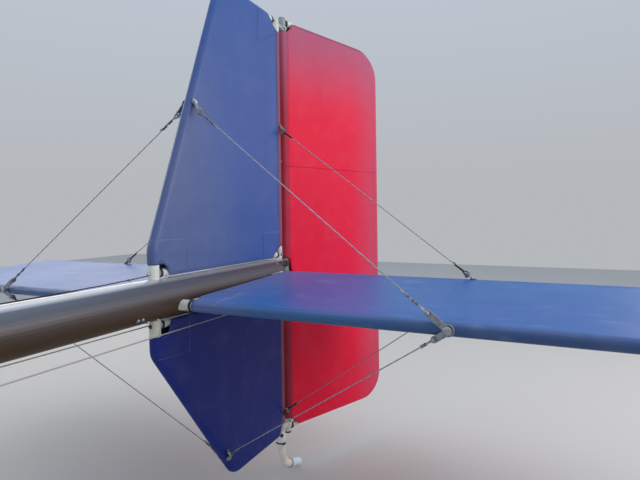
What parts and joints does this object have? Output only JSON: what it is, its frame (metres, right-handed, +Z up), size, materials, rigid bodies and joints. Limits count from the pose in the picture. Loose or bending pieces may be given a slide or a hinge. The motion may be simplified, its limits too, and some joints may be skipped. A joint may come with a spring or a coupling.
{
  "type": "ultralight aircraft tail unit",
  "caption": "Wire-braced tail unit of an ultralight aircraft: tail boom, cloth-covered fins, hinged rudder, stabilisers, hinged elevators and tail skid.",
  "frame": {"origin": "middle of the front face of the spigot that joins the tail boom to the forward boom", "axes": "+X forward along the boom, +Y to port, +Z up"},
  "size_m": [1.6796, 2.37, 1.6845],
  "materials": {
    "boom_tube": "dark grey satin anodised aluminium tube",
    "end_cap": "black moulded cap",
    "navy_cloth": "navy polyester sailcloth, slight sheen",
    "blue_cloth": "blue polyester sailcloth, slight sheen",
    "red_cloth": "red polyester sailcloth, slight sheen",
    "stay_steel": "stranded stainless wire and sheet fittings",
    "pale_plastic": "weathered white plastic",
    "frame_tube": "dull aluminium tube"
  },
  "bodies": {
    "tail_frame": {"boom": "boom_tube", "boom_end_cap": "end_cap", "boom_joint_spigot": "frame_tube", "elevator_hinge_middle_port": "pale_plastic", "elevator_hinge_middle_starboard": "pale_plastic", "elevator_hinge_root_port": "pale_plastic", "elevator_hinge_root_starboard": "pale_plastic", "elevator_hinge_tip_port": "pale_plastic", "elevator_hinge_tip_starboard": "pale_plastic", "leading_edge_socket_port": "pale_plastic", "leading_edge_socket_starboard": "pale_plastic", "rudder_hinge_boom": "pale_plastic", "rudder_hinge_bottom": "pale_plastic", "rudder_hinge_top": "pale_plastic", "skid_pipe": "pale_plastic", "skid_shoe": "frame_tube", "stabiliser_cover_port": "blue_cloth", "stabiliser_cover_starboard": "blue_cloth", "stabiliser_rear_spar": "frame_tube", "stay_lower_front_port": "stay_steel", "stay_lower_front_starboard": "stay_steel", "stay_lower_rear_port": "stay_steel", "stay_lower_rear_starboard": "stay_steel", "stay_tang_front_port": "stay_steel", "stay_tang_front_starboard": "stay_steel", "stay_tang_lower_front": "stay_steel", "stay_tang_lower_rear": "stay_steel", "stay_tang_rear_port": "stay_steel", "stay_tang_rear_starboard": "stay_steel", "stay_tang_upper_front": "stay_steel", "stay_tang_upper_rear": "stay_steel", "stay_upper_front_port": "stay_steel", "stay_upper_front_starboard": "stay_steel", "stay_upper_rear_port": "stay_steel", "stay_upper_rear_starboard": "stay_steel", "upper_fin_cover": "navy_cloth", "upper_fin_foot": "frame_tube", "upper_fin_post": "frame_tube", "upper_fin_root_tube": "frame_tube", "ventral_fin_cover": "navy_cloth", "ventral_fin_foot": "frame_tube", "ventral_fin_post": "frame_tube", "ventral_fin_root_tube": "frame_tube"},
    "rudder": {"rudder_bottom_tube_end": "pale_plastic", "rudder_cover": "red_cloth", "rudder_horn": "frame_tube", "rudder_top_tube_end": "pale_plastic", "rudder_tube": "frame_tube"},
    "elevators": {"elevator_cover_port": "blue_cloth", "elevator_cover_starboard": "blue_cloth", "elevator_horn": "frame_tube", "elevator_tube": "frame_tube"}
  },
  "joints": [
    {"name": "rudder_hinge", "type": "hinge", "parent": "tail_frame", "child": "rudder", "pos_m": [-1.2, 0, 0], "axis": [0, 0, 1], "range_deg": [-7.5, 52.5]},
    {"name": "elevator_hinge", "type": "hinge", "parent": "tail_frame", "child": "elevators", "pos_m": [-1.132, 0, -0.01], "axis": [0, 1, 0], "range_deg": [0, 50]}
  ]
}
